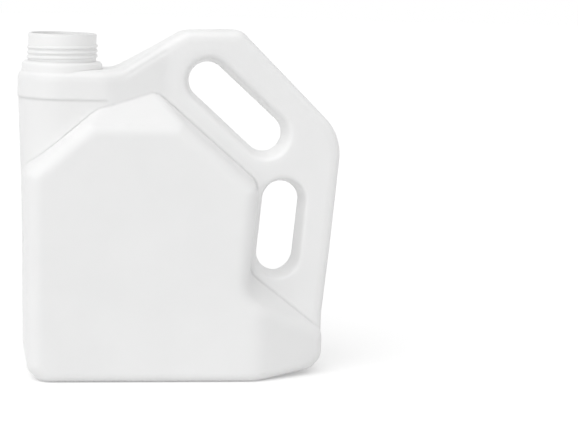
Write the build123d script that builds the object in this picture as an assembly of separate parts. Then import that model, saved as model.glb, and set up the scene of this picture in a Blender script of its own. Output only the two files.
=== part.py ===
"""A plastic jug, blown in one piece from white polyethylene.

One hollow shell: a deep flat-fronted body, a filler column with a threaded neck at the left, and a slim
hollow handle with two windows at the right. The mouth is open. The two halves meet at the plane y = 0.
The origin is the middle of the base, x runs along the jug, y through it and z up.

The shell is the outer form less the same form brought in by the wall, so most functions below take a
depth: 0 for the outside of the jug, and the wall for its inside.
"""

from build123d import *
from collections import namedtuple
import math
import os

# Wall of the blown shell, and of the neck, which is thicker to hold its thread.
wall = 1.3
neck_wall = 2.0

# Half of the jug's depth, from the parting plane to the flat panel, and half of the handle's.
body_half_depth = 56.0
handle_half_depth = 20.0

# Filler column: a round ring under the neck, then a ledge, then a drafted column that meets the body.
shoulder_height = 263.6
shoulder_radius = 37.6
shoulder_round = 9.0
ring_height = 24.5
ledge_step = 0.8
column_draft = 2.6
column_foot = 90.0

# Neck and mouth, on the filler column's axis, above the shoulder.
neck_x = -102.55
neck_radius = 29.2
neck_height = 29.6
rim_bevel = 0.8
collar_radius = 34.5
collar_height = 5.8
collar_bevel = 2.0

# Outline of the upper part and the handle, seen from the front.
slope_start_x = -56.6
slope_round = 22.0
handle_top_left = (1.4, 298.2)
top_left_round = 24.0
handle_top_right = (49.9, 299.4)
top_right_round = 12.0
handle_corner = (141.6, 210.1)
handle_corner_round = 46.0
grip_side = (134.0, 107.9)
grip_round = 60.0
toe_waist = (129.1, 53.1)
edge_round = 9.0

# Plan of the upper part: the column's flat sides narrow to the handle between these two places.
narrow_from = -67.1
narrow_to = -14.1
narrow_round = 30.0

# Deep body: where its walls meet the upper part, and how far each of them leans in to the panel.
# The heights of its top and upper left are measured down from the shoulder.
base_left = -130.7
side_draft = 1.3
heel_cut = 10.0
upper_left_start = (-117.7, 69.4)
upper_left_end = (-62.7, 21.5)
upper_left_lean = 3.0
top_below_shoulder = 14.3
top_lean = 42.0
diagonal_start = (8.9, 219.1)
diagonal_end = (56.9, 178.1)
diagonal_lean = 9.0
right_top = (66.1, 163.5)
right_bottom = (60.3, 76.8)
right_lean = 6.0
panel_round = 14.0
base_round = 8.0
hidden_top = 8.0

# Foot: its front turns in towards the toe, and its top is a shelf that rises towards the handle.
toe_turn = 66.9
toe_turn_round = 40.0
toe_right = 129.1
toe_half_depth = 24.5
toe_rise_start = 65.9
toe_rise = 5.5
toe_cut = 8.0
ridge_start = (49.9, 77.0)
ridge_end = (117.9, 40.5)
shelf_rise = 32.0

# Base: a shallow recess inside the standing ring.
recess_margin = 24.0
recess_height = 3.0
recess_slope = 45.0
recess_corner = 12.0

# Finger windows, each with its turn from level, and how far its lips round over on both sides of the edge.
# The windows are narrowest at the parting plane.
upper_window = (48.2, 232.9)
upper_window_length = 99.5
upper_window_width = 32.4
upper_window_turn = -41.7
upper_window_lip = 7.4
lower_window = (88.8, 128.8)
lower_window_length = 79.4
lower_window_width = 31.6
lower_window_turn = 85.5
lower_window_lip = 4.1
window_lean = 11.0

# Faces that meet at fewer degrees than the first run smoothly into each other. The second is a true edge.
smooth_turn = 4.0
sharp_turn = 50.0
# Share of a direction that counts as all of it, and how closely a place is tested.
mostly = 0.9
touch = 0.02
# Share of a rounding that is cut away where the inside has a flat corner in its place.
flat_share = 0.75
# Lengths that only have to reach past the jug, or stay inside it.
past_jug = 600.0
inside_body = 30.0

Corner = namedtuple("Corner", "edge middle turn down")


def trim(solid, origin, outward, depth):
    """Cut off what lies beyond a plane brought in by depth. Outward points away from what is kept."""
    normal = Vector(*outward).normalized()
    plane = Plane(origin=Vector(*origin) - normal * depth, z_dir=normal)
    return split(solid, bisect_by=plane, keep=Keep.BOTTOM)


def corners(solid, least_turn):
    """Edges where two faces meet at least_turn degrees or more, with each one's turn and middle.

    Down is how far the lower of the two faces looks down: 1 is straight down.
    """
    meeting = {}
    for face in solid.faces():
        for edge in face.edges():
            middle = edge @ 0.5
            place = (round(middle.X, 3), round(middle.Y, 3), round(middle.Z, 3), round(edge.length, 2))
            meeting.setdefault(place, []).append((edge, face))
    found = []
    for pair in meeting.values():
        if len(pair) == 2:
            (edge, first), (_, second) = pair
            middle = edge @ 0.5
            normals = [face.normal_at(middle) for face in (first, second)]
            turn = normals[0].get_angle(normals[1])
            if turn >= least_turn:
                found.append(Corner(edge, middle, turn, -min(normal.Z for normal in normals)))
    return found


def soften(edges, radius, depth):
    """Round edges on the outside of the jug. Inside, where it hardly shows, cut them flat instead."""
    if depth == 0:
        return fillet(edges, radius)
    return chamfer(edges, (radius - depth) * flat_share)


def body_wall(solid, start, end, foot_depth, lean, depth):
    """Cut off what lies left of a line, start to end, by a wall that leans in from it to the panel."""
    along_x = end[0] - start[0]
    along_z = end[1] - start[1]
    length = math.hypot(along_x, along_z)
    level = math.cos(math.radians(lean))
    outward = (-along_z / length * level, -math.sin(math.radians(lean)), along_x / length * level)
    return trim(solid, (start[0], -foot_depth, start[1]), outward, depth)


def body_half(depth):
    """Front half of the deep body: its panel, the walls round it and the wall beside the lower window."""
    solid = Pos(0, -past_jug / 2, 0) * Box(past_jug, past_jug, past_jug)
    solid = trim(solid, (0, -body_half_depth, 0), (0, -1, 0), depth)
    solid = trim(solid, (0, 0, 0), (0, 0, -1), depth)
    side = math.radians(side_draft)
    solid = trim(solid, (base_left, 0, 0), (-math.cos(side), 0, -math.sin(side)), depth)
    solid = trim(solid, (base_left, 0, heel_cut), (-1, 0, -1), depth)
    start = (upper_left_start[0], shoulder_height - upper_left_start[1])
    end = (upper_left_end[0], shoulder_height - upper_left_end[1])
    solid = body_wall(solid, start, end, shoulder_radius, upper_left_lean, depth)
    top = shoulder_height - top_below_shoulder
    solid = body_wall(solid, (0, top), (1, top), handle_half_depth, top_lean, depth)
    solid = body_wall(solid, diagonal_start, diagonal_end, handle_half_depth, diagonal_lean, depth)
    return body_wall(solid, right_top, right_bottom, handle_half_depth, right_lean, depth)


def foot_half(depth):
    """Front half of the foot, which reaches out to the toe under the shelf."""
    taper = math.atan2(body_half_depth - toe_half_depth, toe_right - toe_turn)
    front = body_half_depth - depth
    reach = toe_right - depth
    turn = toe_turn - depth * math.tan(taper / 2)
    toe_front = front - (reach - turn) * math.tan(taper)
    corner_points = [(0, 0), (0, -front), (turn, -front), (reach, -toe_front), (reach, 0)]
    line = FilletPolyline(*corner_points, radius=[0, toe_turn_round - depth, 0])
    plan = make_face(line + Line((reach, 0), (0, 0)))
    solid = extrude(Pos(0, 0, depth) * plan, shoulder_height)
    rise = math.radians(toe_rise)
    solid = trim(solid, (toe_rise_start, 0, 0), (math.sin(rise), 0, -math.cos(rise)), depth)
    toe_base = (toe_right - toe_rise_start) * math.tan(rise)
    solid = trim(solid, (toe_right, 0, toe_base + toe_cut), (1, 0, -1), depth)
    inward = (ridge_end[0] - toe_turn) * math.tan(taper)
    ridge = Vector(ridge_end[0] - ridge_start[0], inward, ridge_end[1] - ridge_start[1])
    climb = Vector(0, math.cos(math.radians(shelf_rise)), math.sin(math.radians(shelf_rise)))
    return trim(solid, (ridge_start[0], -body_half_depth, ridge_start[1]), tuple(ridge.cross(climb)), depth)


def deep_body(depth):
    """Both halves of the body with its foot, rounded, and cut level where they lie inside the upper part."""
    half = body_half(depth) + foot_half(depth)
    upright = []
    for corner in corners(half, smooth_turn):
        if corner.middle.Y < -touch and corner.down < mostly:
            upright.append(corner.edge)
    half = fillet(upright, panel_round - depth)
    base_rim = []
    for corner in corners(half, smooth_turn + toe_rise):
        if corner.middle.Y < -touch and corner.down > mostly:
            base_rim.append(corner.edge)
    half = fillet(base_rim, base_round - depth)
    half = trim(half, (0, 0, shoulder_height - hidden_top), (0, 0, 1), depth)
    return half + mirror(half, about=Plane.XZ)


def upper_outline(depth):
    """Outline of the upper part, from the neck's axis round the handle. Its lower left is inside the body."""
    corner_points = [
        ((neck_x - depth, inside_body), 0),
        ((neck_x - depth, shoulder_height), 0),
        ((slope_start_x, shoulder_height), slope_round),
        (handle_top_left, top_left_round),
        (handle_top_right, top_right_round),
        (handle_corner, handle_corner_round),
        (grip_side, grip_round),
        (toe_waist, 0),
        ((toe_waist[0], inside_body), 0),
    ]
    radii = [radius for point, radius in corner_points]
    line = FilletPolyline(*[point for point, radius in corner_points], radius=radii, close=True)
    return offset(make_face(line), -depth) if depth else make_face(line)


def beside_column(side, depth):
    """What is cut from one of the column's flat sides below the ledge, where it stands in and is drafted."""
    ledge = shoulder_height - ring_height + depth
    flat = shoulder_radius - ledge_step - depth
    foot = flat - ledge * math.tan(math.radians(column_draft))
    points = [(side * flat, ledge), (side * past_jug, ledge), (side * past_jug, 0), (side * foot, 0)]
    return extrude(Plane.YZ * make_face(Polyline(*points, close=True)), past_jug, both=True)


def upper_part(depth):
    """The column's flat sides, the slope and the handle: the outline, thinned in plan towards the handle."""
    solid = extrude(Plane.XZ * upper_outline(depth), shoulder_radius - depth, both=True)
    turn = math.atan2(shoulder_radius - handle_half_depth, narrow_to - narrow_from)
    thin = handle_half_depth - depth
    slack = depth * math.tan(turn / 2)
    left = neck_x - past_jug
    wide = thin + (narrow_to - slack - left) * math.tan(turn)
    for side in (-1, 1):
        points = [(left, side * wide), (narrow_to - slack, side * thin), (past_jug, side * thin)]
        line = FilletPolyline(*points, radius=[narrow_round + depth])
        beyond = [(past_jug, side * past_jug * 2), (left, side * past_jug * 2)]
        solid = solid - extrude(make_face(line + Polyline(line @ 1, *beyond, line @ 0)), past_jug)
    bends = []
    for corner in corners(solid, smooth_turn):
        upright = abs((corner.edge % 0.5).Z) > mostly
        if upright and corner.turn < sharp_turn and abs(corner.middle.Y) > handle_half_depth:
            bends.append(corner.edge)
    solid = fillet(bends, narrow_round - depth)
    rims = []
    for corner in corners(solid, sharp_turn):
        low = min((corner.edge @ 0).Z, (corner.edge @ 1).Z) < inside_body + depth + touch
        at_neck = corner.middle.X < neck_x + touch
        across = abs((corner.edge % 0.5).Y) > mostly
        if not (low or at_neck or across):
            rims.append(corner.edge)
    solid = soften(rims, edge_round, depth)
    return solid - beside_column(-1, depth) - beside_column(1, depth)


def column(depth):
    """The round end of the filler column: the ring down to the ledge, and the drafted column below it."""
    ledge = shoulder_height - ring_height + depth
    top_radius = shoulder_radius - ledge_step - depth
    foot_radius = top_radius - (ledge - column_foot) * math.tan(math.radians(column_draft))
    lower = Pos(neck_x, 0, (column_foot + ledge) / 2) * Cone(foot_radius, top_radius, ledge - column_foot)
    height = shoulder_height - depth - ledge
    ring = Pos(neck_x, 0, ledge + height / 2) * Cylinder(shoulder_radius - depth, height)
    return lower + soften(ring.edges().sort_by(Axis.Z)[-1:], shoulder_round, depth)


def window_section(width, lip, depth):
    """Half of a window's section, from its middle out, and from the parting plane to past the handle."""
    lean = math.radians(window_lean)
    face = handle_half_depth - depth
    narrow = width / 2 + depth / math.cos(lean)
    edge = (narrow + face * math.tan(lean), face)
    back = (lip - depth) * flat_share if depth else lip
    on_wall = (edge[0] - back * math.sin(lean), face - back * math.cos(lean))
    on_face = (edge[0] + back, face)
    rounding = Line(on_wall, on_face) if depth else Bezier(on_wall, edge, on_face)
    rest = Polyline(on_face, (on_face[0], body_half_depth), (0, body_half_depth), (0, 0), (narrow, 0), on_wall)
    return make_face(rounding + rest)


def cut_window(form, centre, length, width, turn, lip, depth):
    """Cut a finger window, grown by depth, with lips that round over onto the handle's two faces."""
    straight = length - width
    section = Pos(-straight / 2, 0) * (Plane.YZ * window_section(width, lip, depth))
    half = extrude(section, straight) + revolve(section, Axis((-straight / 2, 0, 0), (0, 0, 1)), 180)
    along = (math.cos(math.radians(turn)), 0, math.sin(math.radians(turn)))
    place = Plane(origin=(centre[0], 0, centre[1]), x_dir=along, z_dir=(0, -1, 0))
    front = place * (half + Rot(0, 0, 180) * half)
    return form - front - mirror(front, about=Plane.XZ)


def base_recess(depth):
    """The shallow recess under the base, grown by depth."""
    margin = recess_margin - depth
    length = toe_rise_start - base_left - 2 * margin
    width = 2 * (body_half_depth - margin)
    plan = RectangleRounded(length, width, recess_corner + depth)
    middle = (toe_rise_start + base_left) / 2
    return extrude(Pos(middle, 0) * plan, recess_height + depth, taper=recess_slope)


def blown_form(depth):
    """The jug's form up to its shoulder, brought in by depth."""
    form = deep_body(depth) + (upper_part(depth) + column(depth))
    form = cut_window(form, upper_window, upper_window_length, upper_window_width, upper_window_turn,
                      upper_window_lip, depth)
    form = cut_window(form, lower_window, lower_window_length, lower_window_width, lower_window_turn,
                      lower_window_lip, depth)
    return form - base_recess(depth)


def neck():
    """The neck and its collar, turned about the filler column's axis, before the mouth is opened."""
    height = neck_height + wall
    tube = Pos(neck_x, 0, shoulder_height + neck_height - height / 2) * Cylinder(neck_radius, height)
    tube = chamfer(tube.edges().sort_by(Axis.Z)[-1], rim_bevel)
    height = collar_height + shoulder_round
    collar = Pos(neck_x, 0, shoulder_height + collar_height - height / 2) * Cylinder(collar_radius, height)
    return tube + chamfer(collar.edges().sort_by(Axis.Z)[-1], collar_bevel)


def mouth():
    """The bore from the rim down into the hollow column."""
    height = neck_height + 3 * wall
    bore = Cylinder(neck_radius - neck_wall, height, align=(Align.CENTER, Align.CENTER, Align.MAX))
    return Pos(neck_x, 0, shoulder_height + neck_height + wall) * bore


os.makedirs("parts", exist_ok=True)
jug = blown_form(0) + neck() - blown_form(wall) - mouth()
export_step(jug, "parts/jug.step")
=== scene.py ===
"""A white blow-moulded plastic jug, empty and open, seen from the front on a plain white ground."""

import math

import bmesh
import bpy
import numpy as np
from mathutils import Matrix, Vector


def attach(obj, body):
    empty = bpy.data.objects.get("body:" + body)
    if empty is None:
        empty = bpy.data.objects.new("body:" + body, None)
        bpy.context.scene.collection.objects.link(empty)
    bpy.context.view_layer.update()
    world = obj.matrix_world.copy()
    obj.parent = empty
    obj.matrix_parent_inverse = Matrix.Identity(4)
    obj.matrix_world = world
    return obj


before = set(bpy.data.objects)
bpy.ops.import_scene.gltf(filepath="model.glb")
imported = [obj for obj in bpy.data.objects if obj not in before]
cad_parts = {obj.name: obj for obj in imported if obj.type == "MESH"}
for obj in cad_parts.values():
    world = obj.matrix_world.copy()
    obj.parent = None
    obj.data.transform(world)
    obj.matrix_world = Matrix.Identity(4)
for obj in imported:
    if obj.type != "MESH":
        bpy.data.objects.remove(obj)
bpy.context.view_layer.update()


# The camera. It looks at the jug's front panel from a little to the left and from a little above, through
# a long lens. The jug fills the left part of the frame, so the lens is shifted towards it.
picture_width = 578
picture_height = 423
sensor_width = 36.0
view_azimuth = math.radians(-7.31)
view_elevation = math.radians(8.0)
view_roll = math.radians(1.54)
view_distance = 1.5356
view_target = Vector((0.00248, 0.0, 0.14656))
focal_pixels = 1759.2
centre_column = 180.0
centre_row = 204.0

lens = bpy.data.cameras.new("camera")
lens.sensor_width = sensor_width
lens.lens = focal_pixels * sensor_width / picture_width
lens.shift_x = (picture_width / 2 - centre_column) / picture_width
lens.shift_y = (centre_row - picture_height / 2) / picture_width
lens.clip_start = 0.05
lens.clip_end = 30.0
camera = bpy.data.objects.new("camera", lens)
bpy.context.scene.collection.objects.link(camera)
bpy.context.scene.camera = camera
backward = Vector((
    math.sin(view_azimuth) * math.cos(view_elevation),
    -math.cos(view_azimuth) * math.cos(view_elevation),
    math.sin(view_elevation),
))
rightward = Vector((math.cos(view_azimuth), math.sin(view_azimuth), 0.0))
upward = backward.cross(rightward)
turned_right = rightward * math.cos(view_roll) + upward * math.sin(view_roll)
turned_up = upward * math.cos(view_roll) - rightward * math.sin(view_roll)
turn = Matrix((turned_right, turned_up, backward)).transposed()
camera.matrix_world = Matrix.Translation(view_target + backward * view_distance) @ turn.to_4x4()


# The jug: one hollow shell, blown in one piece in a two-part mould from white polyethylene. The shell is
# the CAD model's own. The plastic is satin and faintly milky, with the fine orange peel of a blown skin.
plastic_white = (0.905, 0.905, 0.902, 1.0)
plastic_grey = (0.885, 0.885, 0.883, 1.0)
plastic_index = 1.54
milkiness = 0.2
milky_depth = 0.004
milky_reach = (1.0, 0.98, 0.95)
cloud_scale = 16.0
cloud_detail = 3.0
cloud_range = (0.35, 0.65)
sheen_scale = 55.0
sheen_detail = 4.0
sheen_range = (0.3, 0.7)
smoothest = 0.34
roughest = 0.46
peel_scale = 420.0
peel_detail = 2.0
peel_strength = 0.35
grain_scale = 1900.0
grain_detail = 3.0
grain_strength = 0.3
shell_peel = 0.00012
shell_grain = 0.00004
edge_blend = 0.004
blend_samples = 12


def blown_plastic(name, peel_height, grain_height, blend_radius):
    """White polyethylene: broad faint clouds of tone and of sheen, orange peel, and a finer grain on it.

    Blend_radius softens the shading of true edges, as a blown skin draws round them.
    """
    material = bpy.data.materials.new(name)
    material.use_nodes = True
    nodes = material.node_tree.nodes
    links = material.node_tree.links
    shader = nodes["Principled BSDF"]
    shader.inputs["IOR"].default_value = plastic_index
    shader.inputs["Subsurface Weight"].default_value = milkiness
    shader.inputs["Subsurface Radius"].default_value = milky_reach
    shader.inputs["Subsurface Scale"].default_value = milky_depth
    place = nodes.new("ShaderNodeTexCoord").outputs["Object"]

    def noise(scale, detail):
        texture = nodes.new("ShaderNodeTexNoise")
        texture.inputs["Scale"].default_value = scale
        texture.inputs["Detail"].default_value = detail
        links.new(place, texture.inputs["Vector"])
        return texture.outputs["Fac"]

    def spread(value, lowest, highest):
        ramp = nodes.new("ShaderNodeMapRange")
        ramp.inputs["From Min"].default_value = lowest
        ramp.inputs["From Max"].default_value = highest
        links.new(value, ramp.inputs["Value"])
        return ramp

    def relief(height, strength, distance):
        bump = nodes.new("ShaderNodeBump")
        bump.inputs["Strength"].default_value = strength
        bump.inputs["Distance"].default_value = distance
        links.new(height, bump.inputs["Height"])
        return bump

    tone = nodes.new("ShaderNodeMix")
    tone.data_type = "RGBA"
    tone.inputs["A"].default_value = plastic_grey
    tone.inputs["B"].default_value = plastic_white
    clouds = spread(noise(cloud_scale, cloud_detail), *cloud_range)
    links.new(clouds.outputs["Result"], tone.inputs["Factor"])
    links.new(tone.outputs["Result"], shader.inputs["Base Color"])

    sheen = spread(noise(sheen_scale, sheen_detail), *sheen_range)
    sheen.inputs["To Min"].default_value = smoothest
    sheen.inputs["To Max"].default_value = roughest
    links.new(sheen.outputs["Result"], shader.inputs["Roughness"])

    peel = relief(noise(peel_scale, peel_detail), peel_strength, peel_height)
    grain = relief(noise(grain_scale, grain_detail), grain_strength, grain_height)
    if blend_radius > 0.0:
        rounded = nodes.new("ShaderNodeBevel")
        rounded.samples = blend_samples
        rounded.inputs["Radius"].default_value = blend_radius
        links.new(rounded.outputs["Normal"], peel.inputs["Normal"])
    links.new(peel.outputs["Normal"], grain.inputs["Normal"])
    links.new(grain.outputs["Normal"], shader.inputs["Normal"])
    return material


shell_plastic = blown_plastic("white_polyethylene", shell_peel, shell_grain, edge_blend)
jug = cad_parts["jug"]
jug.data.materials.clear()
jug.data.materials.append(shell_plastic)


# The thread on the neck: a right-hand ridge of about three turns, blown in one with the neck, which runs
# out into the neck at both ends. A screw cap winds down on it.
neck_x = -0.10255
neck_radius = 0.0292
thread_middle = 0.2776
thread_pitch = 0.0042
thread_turns = 2.9
thread_steps = 120
thread_run_out = 0.18
thread_rise = 0.0012
thread_half_width = 0.0013
thread_buried = 0.0009
thread_points = 24
crest_power = 0.8
foot_power = 0.5
ridge_peel = 0.00005
ridge_grain = 0.00002
joining_distance = 1e-6


def closed_tube(name, line, out, across, section, ends):
    """A bar carried along a line: each point is line + section's rise times out + its run times across.

    The section is a closed ring of (run, rise). Ends scales it along the line: 0 at an end closes the
    ring there in one point. Where the line ends at its own start, the two rings are welded.
    """
    rise = section[None, :, 1, None] * ends[:, None, None] * out[:, None, :]
    run = section[None, :, 0, None] * ends[:, None, None] * across[:, None, :]
    points = (line[:, None, :] + rise + run).reshape(-1, 3)
    count = len(section)
    ring = np.arange(len(line) - 1)[:, None] * count
    next_ring = ring + count
    here = np.arange(count)[None, :]
    beside = (here + 1) % count
    faces = np.stack((ring + here, ring + beside, next_ring + beside, next_ring + here), axis=-1)
    mesh = bpy.data.meshes.new(name)
    mesh.from_pydata(points.tolist(), [], faces.reshape(-1, 4).tolist())
    welded = bmesh.new()
    welded.from_mesh(mesh)
    bmesh.ops.remove_doubles(welded, verts=welded.verts, dist=joining_distance)
    bmesh.ops.recalc_face_normals(welded, faces=welded.faces)
    welded.to_mesh(mesh)
    welded.free()
    mesh.shade_smooth()
    piece = bpy.data.objects.new(name, mesh)
    bpy.context.scene.collection.objects.link(piece)
    return piece


def ridge_section(half_width, height, depth, count):
    """A low ridge as a ring of (run, rise): half an oval above the surface and a squarer half under it.

    Round the ring, run is half_width times the cosine. Rise is height times the sine to crest_power
    above the surface, and depth times the sine to foot_power below it.
    """
    around = np.linspace(0.0, 2.0 * np.pi, count, endpoint=False)
    lift = np.sin(around)
    crest = height * np.abs(lift) ** crest_power
    foot = -depth * np.abs(lift) ** foot_power
    rise = np.where(lift > 0.0, crest, foot)
    return np.stack((half_width * np.cos(around), rise), axis=-1)


along = np.linspace(-0.5, 0.5, int(thread_turns * thread_steps) + 1)
wound = along * thread_turns * 2.0 * np.pi - np.pi / 2.0
outward = np.stack((np.cos(wound), np.sin(wound), np.zeros_like(wound)), axis=-1)
helix = outward * neck_radius
helix[:, 0] += neck_x
helix[:, 2] += thread_middle + along * thread_turns * thread_pitch
straight_up = np.zeros_like(helix)
straight_up[:, 2] = 1.0
run_out = np.clip((0.5 - np.abs(along)) * thread_turns / thread_run_out, 0.0, 1.0)
run_out = np.sqrt(run_out * (2.0 - run_out))
thread_section = ridge_section(thread_half_width, thread_rise, thread_buried, thread_points)
ridge_plastic = blown_plastic("white_polyethylene_ridges", ridge_peel, ridge_grain, 0.0)
thread = closed_tube("thread", helix, outward, straight_up, thread_section, run_out)
thread.data.materials.append(ridge_plastic)
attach(thread, "root")


# The parting line: the fine bead that the two halves of the mould leave on the blown skin, where they meet.
# It runs over the handle and the toe, down the filler column, and round inside both finger windows.
bead_half_width = 0.00045
bead_rise = 0.00013
bead_buried = 0.0004
bead_points = 12
bead_step = 0.0015
arc_points = 33
window_end_share = 0.9999
shoulder_height = 0.2636
shoulder_round = 0.009
ledge_height = 0.2391
ring_left = -0.14015
heel_round = 0.014


def rounded_line(corners, radii):
    """Straight runs through the corners (x, z), each inner corner rounded by an arc of its own radius.

    An arc starts radius times the tangent of half the turn before its corner. From there it goes radius
    times the sine of the swing ahead, and radius times one less the cosine to the side it turns to. The
    whole line is then divided evenly.
    """
    corners = np.asarray(corners)
    radii = np.asarray(radii)[:, None]
    run = np.diff(corners, axis=0)
    run = run / np.linalg.norm(run, axis=1)[:, None]
    left = np.stack((-run[:, 1], run[:, 0]), axis=-1)
    aside = (run[1:] * left[:-1]).sum(axis=1)
    ahead = (run[1:] * run[:-1]).sum(axis=1)
    turning = np.arctan2(aside, ahead)[:, None]
    share = np.linspace(0.0, 1.0, arc_points)[None, :]
    swing = (np.abs(turning) * share)[:, :, None]
    start = corners[1:-1] - run[:-1] * radii * np.tan(np.abs(turning) / 2.0)
    forward = run[:-1, None, :] * np.sin(swing)
    sideways = left[:-1, None, :] * np.sign(turning)[:, None, :] * (1.0 - np.cos(swing))
    arcs = start[:, None, :] + radii[:, None, :] * (forward + sideways)
    line = np.concatenate((corners[:1], arcs.reshape(-1, 2), corners[-1:]))
    steps = np.linalg.norm(np.diff(line, axis=0), axis=1)
    far = np.concatenate(([0.0], np.cumsum(steps)))
    even = np.linspace(0.0, far[-1], int(far[-1] / bead_step) + 1)
    return np.stack((np.interp(even, far, line[:, 0]), np.interp(even, far, line[:, 1])), axis=-1)


def bead(name, line, closed):
    """The bead along a line (x, z) in the parting plane, standing out on the line's left."""
    ahead = np.gradient(line, axis=0)
    if closed:
        ahead[0] = ahead[-1] = line[1] - line[-2]
    ahead = ahead / np.linalg.norm(ahead, axis=1)[:, None]
    flat = np.zeros(len(line))
    place = np.stack((line[:, 0], flat, line[:, 1]), axis=-1)
    out = np.stack((-ahead[:, 1], flat, ahead[:, 0]), axis=-1)
    across = np.stack((flat, flat + 1.0, flat), axis=-1)
    ends = np.ones(len(line))
    if not closed:
        ends[[0, -1]] = 0.0
    section = ridge_section(bead_half_width, bead_rise, bead_buried, bead_points)
    piece = closed_tube(name, place, out, across, section, ends)
    piece.data.materials.append(ridge_plastic)
    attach(piece, "root")


# From the collar over the slope, the handle and the grip, down to the toe and in under it.
handle_corners = [
    (-0.0700, shoulder_height),
    (-0.0566, shoulder_height),
    (0.0014, 0.2982),
    (0.0499, 0.2994),
    (0.1416, 0.2101),
    (0.1340, 0.1079),
    (0.1291, 0.0531),
    (0.1291, 0.01409),
    (0.12025, 0.00523),
    (0.0700, 0.00040),
]
handle_radii = [0.022, 0.024, 0.012, 0.046, 0.060, 0.0, heel_round, 0.008]
bead("parting_line_handle", rounded_line(handle_corners, handle_radii), False)

# From the ledge up over the shoulder, under the collar.
ring_corners = [(ring_left, ledge_height), (ring_left, shoulder_height), (-0.1312, shoulder_height)]
bead("parting_line_shoulder", rounded_line(ring_corners, [shoulder_round]), False)

# From the heel up the body's side and the drafted column, to the ledge.
column_corners = [(-0.12304, 0.00234), (-0.1307, 0.0100), (-0.1329, 0.0971), (-0.13935, ledge_height)]
bead("parting_line_column", rounded_line(column_corners, [heel_round, 0.0]), False)


def window_loop(centre, length, width, turn):
    """A long slot's outline, once round: a level rectangle with rounded ends, turned and moved.

    The radius of the ends is half the width, less a hair, so that the two arcs of an end never quite meet.
    """
    half_length = length / 2.0
    half_width = width / 2.0
    end_round = half_width * window_end_share
    corners = [
        (0.0, -half_width),
        (half_length, -half_width),
        (half_length, half_width),
        (-half_length, half_width),
        (-half_length, -half_width),
        (0.0, -half_width),
    ]
    line = rounded_line(corners, [end_round] * 4)
    angle = math.radians(turn)
    level = np.array([math.cos(angle), math.sin(angle)])
    square = np.array([-math.sin(angle), math.cos(angle)])
    return line[:, :1] * level + line[:, 1:] * square + np.array(centre)


upper_window = window_loop(centre=(0.0482, 0.2329), length=0.0995, width=0.0324, turn=-41.7)
bead("parting_line_upper_window", upper_window, True)
lower_window = window_loop(centre=(0.0888, 0.1288), length=0.0794, width=0.0316, turn=85.5)
bead("parting_line_lower_window", lower_window, True)


# The pinch-off under the base: the welded ridge where the mould closed the tube of plastic and nipped its
# tail off. It is plastic of the shell itself, with a fine groove along its crest, inside the base's recess.
weld_from = -0.0960
weld_to = 0.0312
weld_height = 0.0030
weld_half_width = 0.0011
weld_rise = 0.0010
weld_buried = 0.0008
weld_groove = 0.0004
weld_groove_share = 0.25
weld_run_out = 0.03
weld_steps = 160
weld_points = 36

weld_along = np.linspace(0.0, 1.0, weld_steps + 1)
weld_x = weld_from + (weld_to - weld_from) * weld_along
weld_line = np.stack((weld_x, np.zeros_like(weld_x), np.full_like(weld_x, weld_height)), axis=-1)
weld_out = np.zeros_like(weld_line)
weld_out[:, 2] = -1.0
weld_across = np.zeros_like(weld_line)
weld_across[:, 1] = 1.0
weld_ends = np.sqrt(np.clip(np.minimum(weld_along, 1.0 - weld_along) / weld_run_out, 0.0, 1.0))
weld_section = ridge_section(weld_half_width, weld_rise, weld_buried, weld_points)
from_crest = weld_section[:, 0] / (weld_half_width * weld_groove_share)
weld_section[:, 1] -= weld_groove * np.exp(-from_crest ** 2) * (weld_section[:, 1] > 0.0)
weld = closed_tube("pinch_off", weld_line, weld_out, weld_across, weld_section, weld_ends)
weld.data.materials.append(ridge_plastic)
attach(weld, "root")


# The studio: a matt white floor under an even white dome, and one broad soft light high at the left in
# front. The floor's own light shows to the eye and in gloss only, so it keeps the jug's soft shadow.
dome_strength = 0.68
sun_strength = 1.24
sun_spread = math.radians(70.0)
sun_direction = Vector((1.0, 1.25, -1.5))
pure_white = (1.0, 1.0, 1.0, 1.0)
floor_white = (0.80, 0.80, 0.80, 1.0)
floor_lift = 0.30
floor_reach = 9.0


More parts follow.
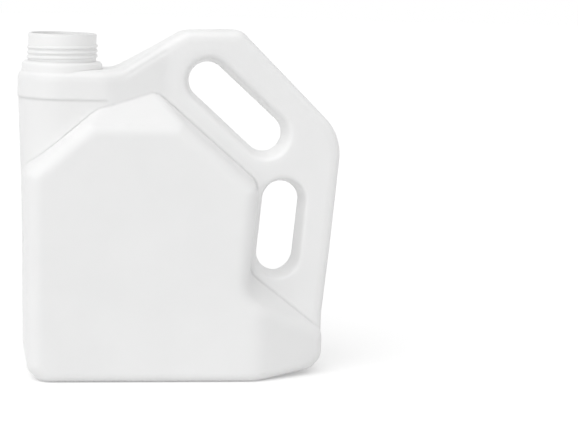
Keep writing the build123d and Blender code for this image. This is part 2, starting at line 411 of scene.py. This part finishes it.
def seen_directly(node_tree):
    """1 for rays from the eye, a reflection or a see-through surface, and 0 for rays that carry light."""
    path = node_tree.nodes.new("ShaderNodeLightPath")
    first = node_tree.nodes.new("ShaderNodeMath")
    first.operation = "MAXIMUM"
    node_tree.links.new(path.outputs["Is Camera Ray"], first.inputs[0])
    node_tree.links.new(path.outputs["Is Glossy Ray"], first.inputs[1])
    second = node_tree.nodes.new("ShaderNodeMath")
    second.operation = "MAXIMUM"
    node_tree.links.new(first.outputs["Value"], second.inputs[0])
    node_tree.links.new(path.outputs["Is Transmission Ray"], second.inputs[1])
    return second.outputs["Value"]


floor_mesh = bpy.data.meshes.new("floor")
floor_corners = np.array([(-1, -1, 0), (1, -1, 0), (1, 1, 0), (-1, 1, 0)]) * floor_reach
floor_mesh.from_pydata(floor_corners.tolist(), [], [(0, 1, 2, 3)])
floor = bpy.data.objects.new("floor", floor_mesh)
bpy.context.scene.collection.objects.link(floor)
matt_white = bpy.data.materials.new("matt_white_floor")
matt_white.use_nodes = True
floor_tree = matt_white.node_tree
floor_shader = floor_tree.nodes["Principled BSDF"]
floor_shader.inputs["Base Color"].default_value = floor_white
floor_shader.inputs["Roughness"].default_value = 1.0
floor_shader.inputs["Specular IOR Level"].default_value = 0.0
floor_shader.inputs["Emission Color"].default_value = pure_white
floor_glow = floor_tree.nodes.new("ShaderNodeMath")
floor_glow.operation = "MULTIPLY"
floor_glow.inputs[1].default_value = floor_lift
floor_tree.links.new(seen_directly(floor_tree), floor_glow.inputs[0])
floor_tree.links.new(floor_glow.outputs["Value"], floor_shader.inputs["Emission Strength"])
floor_mesh.materials.append(matt_white)

dome = bpy.data.worlds.new("white_dome")
bpy.context.scene.world = dome
dome.use_nodes = True
dome_level = dome.node_tree.nodes.new("ShaderNodeMapRange")
dome_level.inputs["To Min"].default_value = dome_strength
dome_level.inputs["To Max"].default_value = 1.0
dome.node_tree.links.new(seen_directly(dome.node_tree), dome_level.inputs["Value"])
dome_light = dome.node_tree.nodes["Background"]
dome_light.inputs["Color"].default_value = pure_white
dome.node_tree.links.new(dome_level.outputs["Result"], dome_light.inputs["Strength"])

sun_lamp = bpy.data.lights.new("soft_light", "SUN")
sun_lamp.energy = sun_strength
sun_lamp.angle = sun_spread
sun = bpy.data.objects.new("soft_light", sun_lamp)
sun.rotation_euler = sun_direction.to_track_quat("-Z", "Y").to_euler()
bpy.context.scene.collection.objects.link(sun)

bpy.context.scene.view_settings.view_transform = "Standard"
